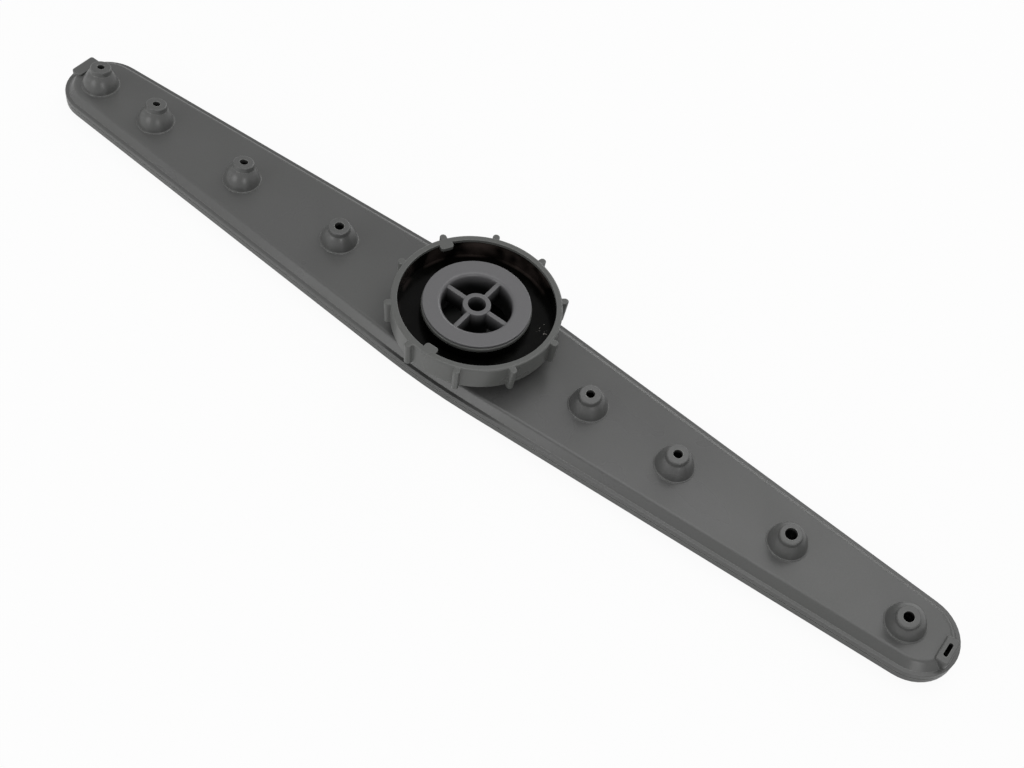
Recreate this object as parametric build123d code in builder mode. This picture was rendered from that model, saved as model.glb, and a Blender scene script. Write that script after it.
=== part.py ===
from build123d import *
from math import cos, radians, sin, tan
import os

# Dishwasher spray arm. Millimetres, +Z up, the arm lies along X with its flat underside
# on Z = 0 and the spin axis on the Z axis.

# Walls and clearances.
shell_wall = 2.0
running_gap = 0.3
weld_clearance = 0.1
overlap = 0.5

# Edges and faces to round are found by their radius and height within this margin.
search_margin = 0.02

# Hub bush, from its bore outward.
boss_bore_radius = 4.1
boss_wall = 2.2
window_radius = 15.9
stem_wall = 2.8
disc_thickness = 1.0
disc_setback = 0.5
disc_edge_radius = 0.35
window_edge_radius = 1.8
boss_drop = 0.85
boss_edge_radius = 0.35
boss_length = 17.6
spoke_count = 4
spoke_width = 2.2
spoke_depth = 9.5
spoke_drop = 0.5
spoke_edge_radius = 0.45

# Groove at the foot of the stem and the split ring that springs into it.
retainer_groove_width = 1.5
retainer_groove_depth = 0.8
retainer_gap = 0.35
retainer_side_clearance = 0.05
retainer_width = 4.4
retainer_slit = 9.0
stem_land = 1.15

# Neck of the upper shell that carries the ring nut and the hub bush.
neck_wall = 2.6
neck_rise = 9.8
neck_end_gap = 0.35
collar_shoulder = 4.4
collar_draft = 0.8
collar_rise = 8.1
collar_roof = 2.0
collar_fillet = 2.5

# Ring nut, from its sleeve outward.
sleeve_wall = 2.2
bead_reach = 0.6
bead_height = 1.9
bead_gap = 0.4
bead_edge_radius = 0.9
ring_floor = 1.8
ring_well_width = 11.15
ring_rim_width = 2.85
ring_rim_height = 1.5
ring_undercut = 0.95
ring_draft = 0.4
ring_stand = 1.35
ring_edge_radius = 0.8
grip_count = 10
grip_first_angle = 6.5
grip_width = 3.2
grip_reach = 2.9
grip_foot_reach = 2.6
grip_foot_drop = 0.6
grip_root_depth = 0.6
grip_top_drop = 0.3
grip_edge_radius = 0.5
tab_angles = (151.5, 271.5)
tab_width = 6.2
tab_reach = 3.05
tab_root_depth = 1.65
tab_thickness = 1.8
tab_corner_radius = 1.4

# Rubber seal that lines the well of the ring nut, held under its bead and its rim.
seal_wall = 0.8
seal_gap = 0.05

# Heights of the two shells.
belly_height = 3.5
side_height = 3.3
ledge_thickness = 2.05
shoulder_rise = 3.85

# Planform of the arm: two straight flanks that fall away from the hub to round tips.
arm_half_length = 249.0
hub_margin = 1.45
flank_angle = 3.6
waist_radius = 357.0

# Insets from the planform, going up and into the shells.
belly_inset = 3.5
belly_radius = 1.5
ledge_width = 1.9
ledge_edge_radius = 0.4
shoulder_run = 3.05
shoulder_radius = 2.2
shoulder_wall = 1.3
lower_wall = 2.2
floor_slope_rise = 2.4
floor_slope_run = 2.4
seam_groove_height = 0.5
seam_groove_depth = 0.4
tongue_inset = 1.35
tongue_width = 0.7
tongue_height = 0.7

# Jet nozzles: side of the hub, place between the first and the last nozzle of that side,
# y of the base, lean toward +Y, lean toward +X, orifice radius.
nozzles = (
    (-1, 1.0, -2.4, 8.0, 0.0, 1.8),
    (-1, 0.756, -2.4, 9.0, 0.0, 1.85),
    (-1, 0.385, -2.4, 10.0, 0.0, 2.0),
    (-1, 0.0, 0.0, -4.0, 3.0, 2.2),
    (1, 0.0, 0.5, -7.0, 0.0, 2.0),
    (1, 0.287, -0.3, -6.0, 0.0, 2.1),
    (1, 0.645, -0.8, -12.0, 0.0, 2.7),
    (1, 1.0, -1.4, -17.0, -3.0, 2.3),
)
first_nozzle_clear = {1: 22.7, -1: 37.7}
last_nozzle_end = {1: 24.8, -1: 19.1}
nozzle_length = 10.6
nozzle_pad_radius = 9.3
nozzle_pad_height = 0.45
nozzle_pad_draft = 8
nozzle_foot_radius = 8.7
nozzle_foot_sink = 0.05
nozzle_bell_radius = 8.0
nozzle_bell_height = 3.4
nozzle_neck_radius = 5.3
nozzle_neck_height = 8.0
nozzle_face_radius = 4.9
nozzle_edge_radius = 0.7
nozzle_inlet_radius = 3.1
nozzle_inlet_depth = 8.2

# Tip jets: a low turret on each tip, slotted through its top on one and its end wall on the other.
turret_end = 5.3
turret_length = 6.0
turret_width = 13.5
turret_shift = 1.2
turret_rise = 1.3
turret_corner_radius = 1.3
turret_edge_radius = 0.7
turret_wall = 1.4
tip_slot_length = 7.3
tip_slot_width = 1.9
end_slot_drop = 2.6

# Radii about the spin axis.
boss_radius = boss_bore_radius + boss_wall
stem_radius = window_radius + stem_wall
groove_radius = stem_radius - retainer_groove_depth
retainer_radius = groove_radius + retainer_side_clearance + retainer_width
neck_bore_radius = stem_radius + running_gap
neck_radius = neck_bore_radius + neck_wall
collar_radius = neck_radius + collar_shoulder
collar_foot_radius = collar_radius + collar_draft
sleeve_bore = neck_radius + running_gap
sleeve_radius = sleeve_bore + sleeve_wall
bead_radius = sleeve_radius + bead_reach
disc_radius = bead_radius - disc_setback
ring_lip_radius = sleeve_radius + ring_well_width
ring_inner_radius = ring_lip_radius + ring_undercut
ring_outer_radius = ring_lip_radius + ring_rim_width
grip_radius = ring_outer_radius + grip_reach

# Heights, going up.
seam_height = belly_height + side_height
ledge_height = seam_height + ledge_thickness
plateau_height = ledge_height + shoulder_rise
ceiling_height = plateau_height - shell_wall
turret_top = plateau_height + turret_rise
collar_height = plateau_height + collar_rise
neck_underside = collar_height - collar_roof
neck_height = collar_height + neck_rise
disc_foot = neck_height + neck_end_gap
disc_top = disc_foot + disc_thickness
ring_foot = collar_height + running_gap
ring_floor_top = ring_foot + ring_floor
ring_top = disc_top + ring_stand
bead_top = disc_foot - bead_gap
bead_foot = bead_top - bead_height
seal_inner_top = bead_foot - overlap - seal_gap
seal_outer_top = ring_top - ring_rim_height - overlap - seal_gap
boss_top = disc_top - boss_drop
spoke_top = boss_top - spoke_drop
groove_top = neck_underside - retainer_gap
groove_foot = groove_top - retainer_groove_width
stem_foot = groove_foot - stem_land

# Construction of the planform.
shoulder_top_inset = ledge_width + shoulder_run
arm_half_width = collar_foot_radius + hub_margin + shoulder_top_inset
flank_slope = tan(radians(flank_angle))
flank_sin = sin(radians(flank_angle))
flank_cos = cos(radians(flank_angle))
waist_centre = arm_half_width - waist_radius
apex_width = waist_centre + waist_radius / flank_cos
tip_radius = (apex_width - flank_slope * arm_half_length) / (1 / flank_cos - flank_slope)
tip_centre = arm_half_length - tip_radius


def planform(inset):
    """Outline of the arm, moved inward by the inset, as a flat face."""
    tip = tip_radius - inset
    waist = waist_radius - inset
    tip_x = tip_centre + tip * flank_sin
    tip_y = tip * flank_cos
    waist_x = waist * flank_sin
    waist_y = waist_centre + waist * flank_cos
    with BuildSketch() as outline:
        with BuildLine():
            ThreePointArc((tip_x, tip_y), (tip_centre + tip, 0), (tip_x, -tip_y))
            Line((tip_x, -tip_y), (waist_x, -waist_y))
            ThreePointArc((waist_x, -waist_y), (0, -waist_centre - waist), (-waist_x, -waist_y))
            Line((-waist_x, -waist_y), (-tip_x, -tip_y))
            ThreePointArc((-tip_x, -tip_y), (-tip_centre - tip, 0), (-tip_x, tip_y))
            Line((-tip_x, tip_y), (-waist_x, waist_y))
            ThreePointArc((-waist_x, waist_y), (0, waist_centre + waist), (waist_x, waist_y))
            Line((waist_x, waist_y), (tip_x, tip_y))
        make_face()
    return outline.sketch


def turret_plan(side, wall):
    """Rounded rectangle of a tip turret, taken in by the wall."""
    with BuildSketch() as plan:
        with Locations((side * (arm_half_length - turret_end), -side * turret_shift)):
            RectangleRounded(turret_length - 2 * wall, turret_width - 2 * wall, turret_corner_radius)
    return plan.sketch


def grip_section(root, reach, angle):
    """Section of a grip rib with a round nose, turned about the spin axis."""
    nose = grip_width / 2
    with BuildSketch() as section:
        with BuildLine():
            Polyline((reach - nose, -nose), (root, -nose), (root, nose), (reach - nose, nose))
            ThreePointArc((reach - nose, nose), (reach, 0), (reach - nose, -nose))
        make_face()
    return section.sketch.rotate(Axis.Z, angle)


def nozzle_base(side, place, y):
    """Foot of a nozzle on the plateau."""
    first = grip_radius + first_nozzle_clear[side]
    last = arm_half_length - last_nozzle_end[side]
    return Vector(side * (first + place * (last - first)), y, plateau_height)


def lean_axis(lean_y, lean_x):
    """Direction of a nozzle from its two lean angles in degrees."""
    return Vector(tan(radians(lean_x)), tan(radians(lean_y)), 1).normalized()


def circles_of(part, radius, height):
    """Round edges about the spin axis with the given radius and height."""
    found = [e for e in part.edges().filter_by(GeomType.CIRCLE) if abs(e.radius - radius) < search_margin]
    return [e for e in found if abs(e.arc_center.Z - height) < search_margin]


# Upper shell: plateau, shoulder, ledge, neck, nozzles and tip turrets in one moulding.
with BuildPart() as upper_shell:
    with BuildSketch(Plane.XY.offset(seam_height)):
        add(planform(ledge_width))
    extrude(amount=ledge_thickness)
    with BuildSketch(Plane.XY.offset(ledge_height)):
        add(planform(ledge_width))
    with BuildSketch(Plane.XY.offset(plateau_height)):
        add(planform(shoulder_top_inset))
    loft(ruled=True)
    fillet(upper_shell.faces().sort_by(Axis.Z)[-1].edges(), shoulder_radius)
    with BuildSketch(Plane.XY.offset(seam_height)):
        add(planform(0))
    extrude(amount=ledge_thickness)
    flats = upper_shell.faces().filter_by(Plane.XY)
    ledge = [f for f in flats if abs(f.center().Z - ledge_height) < search_margin][0]
    fillet(ledge.outer_wire().edges(), ledge_edge_radius)

    # Collar and neck around the spin axis.
    with BuildSketch(Plane.XZ):
        with BuildLine():
            Polyline(
                (0, ledge_height),
                (collar_foot_radius, ledge_height),
                (collar_foot_radius, plateau_height),
                (collar_radius, collar_height),
                (neck_radius, collar_height),
                (neck_radius, neck_height),
                (0, neck_height),
                (0, ledge_height),
            )
        make_face()
    revolve(axis=Axis.Z)
    fillet(circles_of(upper_shell, collar_foot_radius, plateau_height), collar_fillet)

    # Turrets of the two tip jets.
    for side in (1, -1):
        with BuildSketch(Plane.XY.offset(ledge_height - overlap)):
            add(turret_plan(side, 0))
        extrude(amount=turret_top - ledge_height + overlap)
    flats = upper_shell.faces().filter_by(Plane.XY)
    tops = [f for f in flats if abs(f.center().Z - turret_top) < search_margin]
    fillet([e for f in tops for e in f.edges()], turret_edge_radius)

    # Nozzles: a low pad, a bell-shaped foot and a leaning tube with a flat face.
    for side, place, y, lean_y, lean_x, orifice in nozzles:
        axis = lean_axis(lean_y, lean_x)
        half = lean_axis(lean_y / 2, lean_x / 2)
        base = nozzle_base(side, place, y)
        with BuildSketch(Plane(origin=base - Vector(0, 0, shell_wall / 2))):
            Circle(nozzle_pad_radius)
        extrude(amount=shell_wall / 2 + nozzle_pad_height, taper=nozzle_pad_draft)
        with BuildSketch(Plane(origin=base + Vector(0, 0, nozzle_pad_height - nozzle_foot_sink))):
            Circle(nozzle_foot_radius)
        with BuildSketch(Plane(origin=base + half * nozzle_bell_height, z_dir=half)):
            Circle(nozzle_bell_radius)
        with BuildSketch(Plane(origin=base + axis * nozzle_neck_height, z_dir=axis)):
            Circle(nozzle_neck_radius)
        loft()
        with BuildSketch(Plane(origin=base + axis * nozzle_neck_height, z_dir=axis)):
            Circle(nozzle_neck_radius)
        with BuildSketch(Plane(origin=base + axis * nozzle_length, z_dir=axis)):
            Circle(nozzle_face_radius)
        loft(ruled=True)
    rounds = upper_shell.edges().filter_by(GeomType.CIRCLE)
    fillet([e for e in rounds if abs(e.radius - nozzle_face_radius) < search_margin], nozzle_edge_radius)

    # Water channel under the plateau, hollow of the collar and bore of the neck.
    with BuildSketch(Plane.XY.offset(seam_height)):
        add(planform(ledge_width + shoulder_wall))
    with BuildSketch(Plane.XY.offset(ceiling_height)):
        add(planform(shoulder_top_inset + shoulder_wall))
    loft(ruled=True, mode=Mode.SUBTRACT)
    with BuildSketch(Plane.XY.offset(seam_height)):
        Circle(collar_radius - shell_wall)
    extrude(amount=neck_underside - seam_height, mode=Mode.SUBTRACT)
    with BuildSketch(Plane.XY.offset(neck_underside - overlap)):
        Circle(neck_bore_radius)
    extrude(amount=neck_height - neck_underside + 2 * overlap, mode=Mode.SUBTRACT)

    # Nozzle bores: a wide inlet from below and the orifice through the face.
    for side, place, y, lean_y, lean_x, orifice in nozzles:
        axis = lean_axis(lean_y, lean_x)
        base = nozzle_base(side, place, y)
        with BuildSketch(Plane(origin=base - axis * shell_wall * 2, z_dir=axis)):
            Circle(nozzle_inlet_radius)
        extrude(amount=shell_wall * 2 + nozzle_inlet_depth, mode=Mode.SUBTRACT)
        with BuildSketch(Plane(origin=base, z_dir=axis)):
            Circle(orifice)
        extrude(amount=nozzle_length + overlap, mode=Mode.SUBTRACT)

    # Hollows of the turrets and their slots.
    for side in (1, -1):
        with BuildSketch(Plane.XY.offset(seam_height)):
            add(planform(ledge_width + shoulder_wall))
            add(turret_plan(side, turret_wall), mode=Mode.INTERSECT)
        extrude(amount=turret_top - turret_wall - seam_height, mode=Mode.SUBTRACT)
    turret_x = arm_half_length - turret_end
    with BuildSketch(Plane.XY.offset(turret_top - turret_wall - overlap)):
        with Locations((turret_x, -turret_shift)):
            SlotOverall(tip_slot_length, tip_slot_width, rotation=90)
    extrude(amount=turret_wall + 2 * overlap, mode=Mode.SUBTRACT)
    end_slot_centre = (-turret_x, turret_shift, turret_top - end_slot_drop)
    with BuildSketch(Plane(origin=end_slot_centre, x_dir=(0, 1, 0), z_dir=(-1, 0, 0))):
        SlotOverall(tip_slot_length, tip_slot_width)
    extrude(amount=turret_length, mode=Mode.SUBTRACT)

    # Groove for the weld tongue of the lower shell.
    with BuildSketch(Plane.XY.offset(seam_height)):
        add(planform(tongue_inset - weld_clearance))
        add(planform(tongue_inset + tongue_width + weld_clearance), mode=Mode.SUBTRACT)
    extrude(amount=tongue_height + weld_clearance, mode=Mode.SUBTRACT)

# Lower shell: belly, side wall with the seam groove, and the weld tongue.
with BuildPart() as lower_shell:
    with BuildSketch(Plane.XY):
        add(planform(belly_inset))
    with BuildSketch(Plane.XY.offset(belly_height)):
        add(planform(0))
    loft(ruled=True)
    fillet(lower_shell.faces().sort_by(Axis.Z)[0].edges(), belly_radius)
    with BuildSketch(Plane.XY.offset(belly_height)):
        add(planform(0))
    extrude(amount=side_height - seam_groove_height)
    with BuildSketch(Plane.XY.offset(seam_height - seam_groove_height)):
        add(planform(seam_groove_depth))
    extrude(amount=seam_groove_height)
    with BuildSketch(Plane.XY.offset(seam_height)):
        add(planform(tongue_inset))
        add(planform(tongue_inset + tongue_width), mode=Mode.SUBTRACT)
    extrude(amount=tongue_height)
    with BuildSketch(Plane.XY.offset(seam_height)):
        add(planform(lower_wall))
    extrude(amount=shell_wall + floor_slope_rise - seam_height, mode=Mode.SUBTRACT)
    with BuildSketch(Plane.XY.offset(shell_wall + floor_slope_rise)):
        add(planform(lower_wall))
    with BuildSketch(Plane.XY.offset(shell_wall)):
        add(planform(lower_wall + floor_slope_run))
    loft(ruled=True, mode=Mode.SUBTRACT)

# Ring nut: wall, floor and inner sleeve with a rounded bead, ten grip ribs and two bayonet tabs.
with BuildPart() as ring_nut:
    with BuildSketch(Plane.XZ):
        with BuildLine():
            Polyline(
                (sleeve_bore, ring_foot),
                (ring_outer_radius - ring_draft, ring_foot),
                (ring_outer_radius, ring_top),
                (ring_lip_radius, ring_top),
                (ring_lip_radius, ring_top - ring_rim_height),
                (ring_inner_radius, ring_top - ring_rim_height - overlap),
                (ring_inner_radius - ring_draft, ring_floor_top),
                (sleeve_radius, ring_floor_top),
                (sleeve_radius, bead_foot - overlap),
                (bead_radius, bead_foot),
                (bead_radius, bead_top),
                (sleeve_bore, bead_top),
                (sleeve_bore, ring_foot),
            )
        make_face()
    revolve(axis=Axis.Z)
    fillet(circles_of(ring_nut, ring_outer_radius, ring_top), ring_edge_radius)
    fillet(circles_of(ring_nut, bead_radius, bead_top), bead_edge_radius)
    for i in range(grip_count):
        angle = grip_first_angle + i * 360 / grip_count
        foot_radius = ring_outer_radius - ring_draft
        with BuildSketch(Plane.XY.offset(ring_foot - grip_foot_drop)):
            add(grip_section(foot_radius - grip_root_depth, foot_radius + grip_foot_reach, angle))
        with BuildSketch(Plane.XY.offset(ring_top - grip_top_drop)):
            add(grip_section(ring_outer_radius - ring_edge_radius - grip_root_depth, grip_radius, angle))
        loft(ruled=True)
    fillet(circles_of(ring_nut, grip_width / 2, ring_top - grip_top_drop), grip_edge_radius)
    for angle in tab_angles:
        with BuildSketch(Plane.XY.offset(ring_top - tab_thickness)):
            with Locations(Rotation(0, 0, angle)):
                with Locations((ring_lip_radius + (tab_root_depth - tab_reach) / 2, 0)):
                    RectangleRounded(tab_root_depth + tab_reach, tab_width, tab_corner_radius)
        extrude(amount=tab_thickness)

# Seal: a channel of rubber on the floor of the well, up its sleeve to the bead and up its wall to the rim.
with BuildPart() as well_seal:
    with BuildSketch(Plane.XZ):
        with BuildLine():
            Polyline(
                (sleeve_radius + seal_gap, ring_floor_top),
                (ring_inner_radius - ring_draft - seal_gap, ring_floor_top),
                (ring_inner_radius - seal_gap, seal_outer_top),
                (ring_inner_radius - seal_gap - seal_wall, seal_outer_top),
                (ring_inner_radius - ring_draft - seal_gap - seal_wall, ring_floor_top + seal_wall),
                (sleeve_radius + seal_gap + seal_wall, ring_floor_top + seal_wall),
                (sleeve_radius + seal_gap + seal_wall, seal_inner_top),
                (sleeve_radius + seal_gap, seal_inner_top),
                (sleeve_radius + seal_gap, ring_floor_top),
            )
        make_face()
    revolve(axis=Axis.Z)

# Hub bush: disc, stem with the retainer groove, spokes and bored boss.
with BuildPart() as hub_bush:
    with BuildSketch(Plane.XZ):
        with BuildLine():
            Polyline(
                (window_radius, stem_foot),
                (stem_radius, stem_foot),
                (stem_radius, groove_foot),
                (groove_radius, groove_foot),
                (groove_radius, groove_top),
                (stem_radius, groove_top),
                (stem_radius, disc_foot),
                (disc_radius, disc_foot),
                (disc_radius, disc_top),
                (window_radius, disc_top),
                (window_radius, stem_foot),
            )
        make_face()
    revolve(axis=Axis.Z)
    fillet(circles_of(hub_bush, disc_radius, disc_top), disc_edge_radius)
    fillet(circles_of(hub_bush, window_radius, disc_top), window_edge_radius)
    with BuildSketch(Plane.XY.offset(spoke_top)):
        with PolarLocations(0, spoke_count):
            with Locations(((window_radius + boss_bore_radius) / 2 + overlap, 0)):
                Rectangle(window_radius - boss_bore_radius, spoke_width)
    extrude(amount=-spoke_depth)
    ridges = hub_bush.edges().filter_by(GeomType.LINE).filter_by_position(Axis.Z, spoke_top, spoke_top)
    fillet([e for e in ridges if e.length > 2 * spoke_width], spoke_edge_radius)
    with BuildSketch(Plane.XY.offset(boss_top)):
        Circle(boss_radius)
    extrude(amount=-boss_length)
    fillet(circles_of(hub_bush, boss_radius, boss_top), boss_edge_radius)
    with BuildSketch(Plane.XY.offset(boss_top)):
        Circle(boss_bore_radius)
    extrude(amount=-boss_length, mode=Mode.SUBTRACT)

# Retaining ring in the groove of the stem, below the neck.
with BuildPart() as retaining_ring:
    with BuildSketch(Plane.XY.offset(groove_foot + retainer_side_clearance)):
        Circle(retainer_radius)
        Circle(groove_radius + retainer_side_clearance, mode=Mode.SUBTRACT)
        with Locations((-retainer_radius, 0)):
            Rectangle(retainer_radius, retainer_slit, mode=Mode.SUBTRACT)
    extrude(amount=retainer_groove_width - 2 * retainer_side_clearance)

os.makedirs("parts", exist_ok=True)

upper_shell.part.label = "upper_shell"
lower_shell.part.label = "lower_shell"
ring_nut.part.label = "ring_nut"
well_seal.part.label = "well_seal"
hub_bush.part.label = "hub_bush"
retaining_ring.part.label = "retaining_ring"

export_step(upper_shell.part, "parts/upper_shell.step")
export_step(lower_shell.part, "parts/lower_shell.step")
export_step(ring_nut.part, "parts/ring_nut.step")
export_step(well_seal.part, "parts/well_seal.step")
export_step(hub_bush.part, "parts/hub_bush.step")
export_step(retaining_ring.part, "parts/retaining_ring.step")
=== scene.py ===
"""The dishwasher spray arm dressed for the camera.

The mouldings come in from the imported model. Here each gets the finish of its plastic or rubber, and
the studio gets its floor, its soft boxes and the camera of the photograph. Lengths are in metres,
unless their name ends in mm.
"""

import bpy
from mathutils import Matrix, Vector

# the sockets of a colour Mix node: its share, its two colours and the colour that comes out
SHARE, FIRST, SECOND, MIXED = 0, 6, 7, 2

# a noise seldom leaves this range
NOISE_LOW, NOISE_HIGH = 0.3, 0.7

# a height under the arm, where no wall lies
BELOW_ALL_MM = -2


def linear(tone):
    """An sRGB hex tone as the linear colour that a shader takes."""
    parts = [int(tone[i:i + 2], 16) / 255 for i in (1, 3, 5)]
    return [c / 12.92 if c <= 0.04045 else ((c + 0.055) / 1.055) ** 2.4 for c in parts] + [1.0]


def metres(length_mm):
    """A length in millimetres as one in metres."""
    return length_mm / 1000


def per_metre(pitch_mm):
    """The pattern scale at which one feature is pitch_mm wide."""
    return 1000 / pitch_mm


def add_node(tree, kind, settings=None, inputs=None):
    """Adds one shader node. An input takes a value, or the output socket that feeds it."""
    added = tree.nodes.new("ShaderNode" + kind)
    for name, value in (settings or {}).items():
        setattr(added, name, value)
    for name, value in (inputs or {}).items():
        if isinstance(value, bpy.types.NodeSocket):
            tree.links.new(value, added.inputs[name])
        else:
            added.inputs[name].default_value = value
    return added


def empty_material(name):
    """A material whose node tree is still bare."""
    finish = bpy.data.materials.new(name)
    finish.use_nodes = True
    finish.node_tree.nodes.clear()
    return finish


# ---- finishes of the mouldings ----

FLOW_MM = 38            # the clouds that the melt leaves where it cools unevenly
RECESS_MM = 12          # a wall this near paints shade into a recess
TOUCH_MM = 1            # a wall this near keeps a corner from being rubbed
SATIN_SWING = 0.05      # how far the clouds move the roughness either way
PAINTED_SHADE_DARKEST = 0.2      # what the painted shade leaves of the tone in the closest recess
DEEP_PAINTED_SHADE_DARKEST = 0.07     # and what the painted shade leaves at the foot of a deep wall


def moulded_plastic(name, body_tone, flow_tone, edge_wear_and_highlight_tone, edge_wear_and_highlight_share, corner_mm, roughness, grain_mm,
                    grain_depth_mm, ior, unshaded_above_mm=BELOW_ALL_MM, darkest_shade_below_mm=BELOW_ALL_MM - 1):
    """A self-coloured moulding: cloudy flow marks, the fine spark-eroded grain of the mould, open edges
    painted lighter as rubbed wear and as a painted highlight, and painted shade in the recesses. Where
    the two heights lie in the part, the painted shade also closes over the deep walls, from the upper
    height down to the lower one."""
    finish = empty_material(name)
    tree = finish.node_tree
    place = add_node(tree, "TexCoord").outputs["Object"]

    flow = add_node(tree, "TexNoise", inputs={
        "Vector": place, "Scale": per_metre(FLOW_MM), "Detail": 3.0, "Roughness": 0.45,
        "Distortion": 0.6})
    body = add_node(tree, "Mix", {"data_type": "RGBA"}, {
        SHARE: flow.outputs["Fac"], FIRST: linear(body_tone), SECOND: linear(flow_tone)})

    # The eroded grain, which breaks up the highlight. The real one is some hundredths of a
    # millimetre wide, and is drawn coarser so that it shows.
    grain = add_node(tree, "TexNoise", inputs={
        "Vector": place, "Scale": per_metre(grain_mm), "Detail": 2.0, "Roughness": 0.55})
    speck = add_node(tree, "MapRange", inputs={
        "Value": grain.outputs["Fac"], "From Min": NOISE_LOW, "From Max": NOISE_HIGH,
        "To Min": 0.94, "To Max": 1.06})
    grained = add_node(tree, "Mix", {"data_type": "RGBA", "blend_type": "MULTIPLY"}, {
        SHARE: 1.0, FIRST: body.outputs[MIXED], SECOND: speck.outputs["Result"]})

    # painted shade in windows, in bores and at the feet of ribs and bells, darker where walls close in
    occlusion = add_node(tree, "AmbientOcclusion", {"samples": 8}, {"Distance": metres(RECESS_MM)})
    painted_shade = add_node(tree, "MapRange", inputs={
        "Value": occlusion.outputs["AO"], "From Min": 0.05, "From Max": 0.42,
        "To Min": PAINTED_SHADE_DARKEST, "To Max": 1.0})
    height = add_node(tree, "SeparateXYZ", inputs={"Vector": place})
    # painted shade by height: the deep walls are painted darker towards the bottom
    deep_painted_shade = add_node(tree, "MapRange", {"interpolation_type": "SMOOTHSTEP"}, {
        "Value": height.outputs["Z"], "From Min": metres(darkest_shade_below_mm),
        "From Max": metres(unshaded_above_mm), "To Min": DEEP_PAINTED_SHADE_DARKEST, "To Max": 1.0})
    kept = add_node(tree, "Math", {"operation": "MULTIPLY"}, {
        0: painted_shade.outputs["Result"], 1: deep_painted_shade.outputs["Result"]})
    # the painted shade darkens the colour
    painted_shade_applied = add_node(tree, "Mix", {"data_type": "RGBA", "blend_type": "MULTIPLY"}, {
        SHARE: 1.0, FIRST: grained.outputs[MIXED], SECOND: kept.outputs["Value"]})

    # moulded corners are softly round; the open ones are painted lighter, partly as rubbed wear and
    # partly as a painted highlight
    corner = add_node(tree, "Bevel", {"samples": 6}, {"Radius": metres(corner_mm)})
    flat = add_node(tree, "NewGeometry")
    turned = add_node(tree, "VectorMath", {"operation": "DOT_PRODUCT"}, {
        0: corner.outputs["Normal"], 1: flat.outputs["Normal"]})
    at_corner = add_node(tree, "MapRange", inputs={
        "Value": turned.outputs["Value"], "From Min": 0.99, "From Max": 0.88,
        "To Min": 0.0, "To Max": edge_wear_and_highlight_share})
    near = add_node(tree, "AmbientOcclusion", {"samples": 6}, {"Distance": metres(TOUCH_MM)})
    open_side = add_node(tree, "MapRange", inputs={
        "Value": near.outputs["AO"], "From Min": 0.75, "From Max": 0.97})
    rubbed_and_highlit = add_node(tree, "Math", {"operation": "MULTIPLY"}, {
        0: at_corner.outputs["Result"], 1: open_side.outputs["Result"]})
    # rubbed wear and painted highlight: open edges lightened towards the edge tone
    worn_and_highlit = add_node(tree, "Mix", {"data_type": "RGBA"}, {
        SHARE: rubbed_and_highlit.outputs["Value"], FIRST: painted_shade_applied.outputs[MIXED], SECOND: linear(edge_wear_and_highlight_tone)})

    # satin patches: the clouds are a touch glossier where the tone is lighter
    satin = add_node(tree, "MapRange", inputs={
        "Value": flow.outputs["Fac"], "From Min": NOISE_LOW, "From Max": NOISE_HIGH,
        "To Min": roughness + SATIN_SWING, "To Max": roughness - SATIN_SWING})
    relief = add_node(tree, "Bump", inputs={
        "Height": grain.outputs["Fac"], "Distance": metres(grain_depth_mm), "Strength": 0.6,
        "Normal": corner.outputs["Normal"]})

    shader = add_node(tree, "BsdfPrincipled", inputs={
        "Base Color": worn_and_highlit.outputs[MIXED], "Roughness": satin.outputs["Result"], "IOR": ior,
        "Normal": relief.outputs["Normal"]})
    add_node(tree, "OutputMaterial", inputs={"Surface": shader.outputs["BSDF"]})
    return finish


PAINTED_REFLECTION_MM = 14           # patches of painted reflection on the rubber
WALL_BLEND_MM = 1.2     # over which the painted reflection starts towards the wall
FLECK_MM = 1.6           # pale flecks, drawn as coarse as they need to show
PEEL_MM = 5             # the soft unevenness of a rubber skin
PEEL_DEPTH_MM = 0.1


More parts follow.
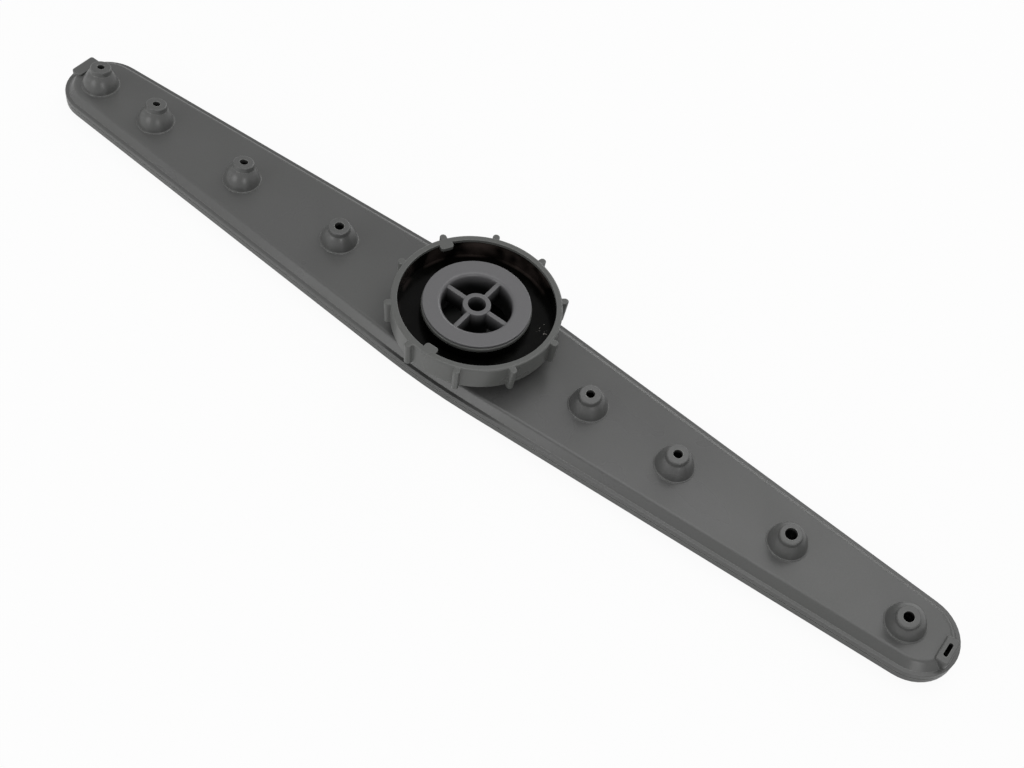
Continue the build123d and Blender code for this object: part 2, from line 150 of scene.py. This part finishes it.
def seal_rubber(name, black, reflection_brown, wall_middle, wall_mm, fleck_tone, fleck_spot, fleck_reach_mm):
    """Moulded black rubber: polished by its mould, with a painted brown reflection in soft patches on
    its outer wall, wall_mm from wall_middle, and, at one spot, a few pale flecks."""
    finish = empty_material(name)
    tree = finish.node_tree
    place = add_node(tree, "TexCoord").outputs["Object"]

    reflection_noise = add_node(tree, "TexNoise", inputs={
        "Vector": place, "Scale": per_metre(PAINTED_REFLECTION_MM), "Detail": 2.0, "Roughness": 0.5})
    reflection_patch = add_node(tree, "MapRange", inputs={
        "Value": reflection_noise.outputs["Fac"], "From Min": 0.42, "From Max": 0.68})
    from_middle = add_node(tree, "VectorMath", {"operation": "DISTANCE"}, {0: place, 1: wall_middle})
    on_wall = add_node(tree, "MapRange", inputs={
        "Value": from_middle.outputs["Value"], "From Min": metres(wall_mm - WALL_BLEND_MM),
        "From Max": metres(wall_mm)})
    reflection_shown = add_node(tree, "Math", {"operation": "MULTIPLY"}, {
        0: reflection_patch.outputs["Result"], 1: on_wall.outputs["Result"]})
    # painted reflection: brown patches mixed into the black on the outer wall
    with_painted_reflection = add_node(tree, "Mix", {"data_type": "RGBA"}, {
        SHARE: reflection_shown.outputs["Value"], FIRST: linear(black), SECOND: linear(reflection_brown)})

    # pale stretched specks, kept to the neighbourhood of one spot
    away = add_node(tree, "VectorMath", {"operation": "DISTANCE"}, {0: place, 1: fleck_spot})
    near = add_node(tree, "MapRange", inputs={
        "Value": away.outputs["Value"], "From Min": metres(fleck_reach_mm),
        "From Max": metres(fleck_reach_mm / 2)})
    fleck_noise = add_node(tree, "TexNoise", inputs={
        "Vector": place, "Scale": per_metre(FLECK_MM), "Detail": 1.0, "Distortion": 1.0})
    caught = add_node(tree, "MapRange", inputs={
        "Value": fleck_noise.outputs["Fac"], "From Min": 0.68, "From Max": 0.74})
    kept = add_node(tree, "Math", {"operation": "MULTIPLY"}, {
        0: caught.outputs["Result"], 1: near.outputs["Result"]})
    flecked = add_node(tree, "Mix", {"data_type": "RGBA"}, {
        SHARE: kept.outputs["Value"], FIRST: with_painted_reflection.outputs[MIXED], SECOND: linear(fleck_tone)})

    skin = add_node(tree, "TexNoise", inputs={
        "Vector": place, "Scale": per_metre(PEEL_MM), "Detail": 2.0, "Roughness": 0.4})
    sheen = add_node(tree, "MapRange", inputs={
        "Value": skin.outputs["Fac"], "From Min": NOISE_LOW, "From Max": NOISE_HIGH,
        "To Min": 0.16, "To Max": 0.3})
    relief = add_node(tree, "Bump", inputs={
        "Height": skin.outputs["Fac"], "Distance": metres(PEEL_DEPTH_MM), "Strength": 0.5})
    shader = add_node(tree, "BsdfPrincipled", inputs={
        "Base Color": flecked.outputs[MIXED], "Roughness": sheen.outputs["Result"], "IOR": 1.5,
        "Specular IOR Level": 0.08, "Normal": relief.outputs["Normal"]})
    add_node(tree, "OutputMaterial", inputs={"Surface": shader.outputs["BSDF"]})
    return finish


# Polypropylene from a lightly eroded mould: a dry satin with soft, wide highlights.
# its open edges are painted strongly light, as rubbed wear and as a painted highlight
arm_finish = moulded_plastic(
    "arm_moulded_polypropylene", body_tone="#535452", flow_tone="#585858", edge_wear_and_highlight_tone="#a6a7a4",
    edge_wear_and_highlight_share=0.9, corner_mm=0.45, roughness=0.31, grain_mm=0.45, grain_depth_mm=0.01, ior=1.49)

# The same plastic from a smoother mould: a shade lighter, with a tighter highlight on the wall.
ring_finish = moulded_plastic(
    "ring_moulded_polypropylene", body_tone="#575856", flow_tone="#5e5f5d", edge_wear_and_highlight_tone="#8a8c8a",
    edge_wear_and_highlight_share=0.5, corner_mm=0.5, roughness=0.3, grain_mm=0.4, grain_depth_mm=0.008, ior=1.49)

# Acetal, which runs on the neck and seals on the pipe: the palest of the three, with the finest
# # grain. Its windows are painted darker with shade from just under the disc down to the water chamber.
bush_finish = moulded_plastic(
    "bush_moulded_acetal", body_tone="#636364", flow_tone="#69686a", edge_wear_and_highlight_tone="#88888a",
    edge_wear_and_highlight_share=0.5, corner_mm=0.5, roughness=0.32, grain_mm=0.35, grain_depth_mm=0.005, ior=1.48,
    unshaded_above_mm=31.5, darkest_shade_below_mm=22.0)

# EPDM rubber in the well: near black, with a faint soft gloss and a painted brown reflection in patches
# on its outer wall.
seal_finish = seal_rubber(
    "seal_moulded_epdm_rubber", black="#040403", reflection_brown="#403835", wall_middle=(0, 0, 0.028),
    wall_mm=34.6, fleck_tone="#c4beb9", fleck_spot=(0.0295, 0.0136, 0.0237), fleck_reach_mm=5.0)


# ---- studio ----


def pale_floor(side, drop_mm, glow_seen, glow_in_gloss):
    """A white table, a hair under the arm so that the two faces don't share a plane. The camera sees
    it near white, and the arm's shadow stays on it. The two glows are its share of plain white to
    the camera and in the gloss."""
    bpy.ops.mesh.primitive_plane_add(size=side, location=(0, 0, -metres(drop_mm)))
    table = bpy.context.object
    table.name = "studio_floor"
    paper = empty_material("studio_white_paper")
    tree = paper.node_tree
    matt = add_node(tree, "BsdfDiffuse", inputs={"Color": linear("#f2f2f2")})
    glow = add_node(tree, "Emission", inputs={"Color": linear("#ffffff"), "Strength": 1.0})
    rays = add_node(tree, "LightPath")
    in_view = add_node(tree, "MapRange", inputs={
        "Value": rays.outputs["Is Camera Ray"], "To Max": glow_seen})
    in_gloss = add_node(tree, "MapRange", inputs={
        "Value": rays.outputs["Is Glossy Ray"], "To Max": glow_in_gloss})
    share = add_node(tree, "Math", {"operation": "MAXIMUM"}, {
        0: in_view.outputs["Result"], 1: in_gloss.outputs["Result"]})
    both = add_node(tree, "MixShader", inputs={
        0: share.outputs["Value"], 1: matt.outputs["BSDF"], 2: glow.outputs["Emission"]})
    add_node(tree, "OutputMaterial", inputs={"Surface": both.outputs["Shader"]})
    table.data.materials.append(paper)


def soft_box(name, place, target, width, height, watts, in_gloss=True):
    """A rectangular soft box that faces its target, with or without a highlight of its own."""
    lamp = bpy.data.lights.new(name, "AREA")
    lamp.shape = "RECTANGLE"
    lamp.size = width
    lamp.size_y = height
    lamp.energy = watts
    stand = bpy.data.objects.new(name, lamp)
    bpy.context.scene.collection.objects.link(stand)
    stand.visible_glossy = in_gloss
    stand.location = place
    stand.rotation_euler = (Vector(target) - Vector(place)).to_track_quat("-Z", "Y").to_euler()


def room(level, in_gloss):
    """An even white room. It lights at the given level, the gloss shows it at its own, and the
    camera sees it white."""
    world = bpy.data.worlds.new("studio_room")
    bpy.context.scene.world = world
    world.use_nodes = True
    tree = world.node_tree
    tree.nodes.clear()
    rays = add_node(tree, "LightPath")
    seen = add_node(tree, "Math", {"operation": "MAXIMUM"}, {
        0: rays.outputs["Is Camera Ray"], 1: rays.outputs["Is Transmission Ray"]})
    glossed = add_node(tree, "MapRange", inputs={
        "Value": rays.outputs["Is Glossy Ray"], "To Min": level, "To Max": in_gloss})
    strength = add_node(tree, "MapRange", inputs={
        "Value": seen.outputs["Value"], "To Min": glossed.outputs["Result"], "To Max": 1.0})
    air = add_node(tree, "Background", inputs={
        "Color": linear("#ffffff"), "Strength": strength.outputs["Result"]})
    add_node(tree, "OutputWorld", inputs={"Surface": air.outputs["Background"]})


def photo_camera(place, right_axis, back_axis, focal_px, frame_px, sensor_mm=36.0):
    """The camera of the photograph, from its place, its own axes and its focal length in pixels."""
    right = Vector(right_axis).normalized()
    back = Vector(back_axis).normalized()
    up = back.cross(right).normalized()
    right = up.cross(back)
    lens = bpy.data.cameras.new("photo_camera")
    lens.sensor_width = sensor_mm
    lens.lens = focal_px / frame_px * sensor_mm
    lens.clip_start = 0.01
    camera = bpy.data.objects.new("photo_camera", lens)
    bpy.context.scene.collection.objects.link(camera)
    turn = Matrix((right, up, back)).transposed().to_4x4()
    camera.matrix_world = Matrix.Translation(place) @ turn
    bpy.context.scene.camera = camera


# ---- the scene ----

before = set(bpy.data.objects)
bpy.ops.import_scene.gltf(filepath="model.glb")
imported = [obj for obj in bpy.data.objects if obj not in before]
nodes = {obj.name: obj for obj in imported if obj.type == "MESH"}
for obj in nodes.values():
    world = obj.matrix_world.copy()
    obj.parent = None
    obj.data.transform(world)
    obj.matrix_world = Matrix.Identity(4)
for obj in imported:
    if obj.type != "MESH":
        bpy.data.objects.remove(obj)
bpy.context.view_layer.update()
bpy.ops.object.select_all(action="DESELECT")

finishes = {
    "upper_shell": arm_finish,
    "lower_shell": arm_finish,
    "ring_nut": ring_finish,
    "well_seal": seal_finish,
    "hub_bush": bush_finish,
    "retaining_ring": bush_finish,
}
for name, finish in finishes.items():
    for slot in nodes[name].material_slots:
        slot.material = finish

pale_floor(side=40.0, drop_mm=0.4, glow_seen=0.94, glow_in_gloss=0.3)
room(level=0.28, in_gloss=0.75)
soft_box("box_above", place=(0.05, 0.1, 1.2), target=(0, 0, 0), width=1.0, height=1.0, watts=4.6)
soft_box("box_behind", place=(0.3, 0.65, 0.95), target=(0.1, 0, 0), width=0.6, height=0.5, watts=1.1)
soft_box("box_far", place=(-0.1, 1.1, 0.5), target=(0, 0, 0), width=0.9, height=0.3, watts=2.6)
soft_box("box_front", place=(-0.3, -0.85, 0.34), target=(0.05, 0, 0), width=0.45, height=0.4, watts=1.4)
soft_box("box_right", place=(0.85, -0.6, 0.4), target=(0.05, 0, 0), width=0.35, height=0.4, watts=1.5)
soft_box("box_low", place=(-0.7, -0.45, 0.13), target=(-0.15, 0, 0), width=0.4, height=0.2, watts=1.6,
         in_gloss=False)
photo_camera(place=(0.1985, -0.3431, 0.5178), right_axis=(0.7976, 0.5906, 0.1228),
             back_axis=(0.2668, -0.5279, 0.8064), focal_px=1424.13, frame_px=1024)

bpy.context.scene.view_settings.view_transform = "Standard"
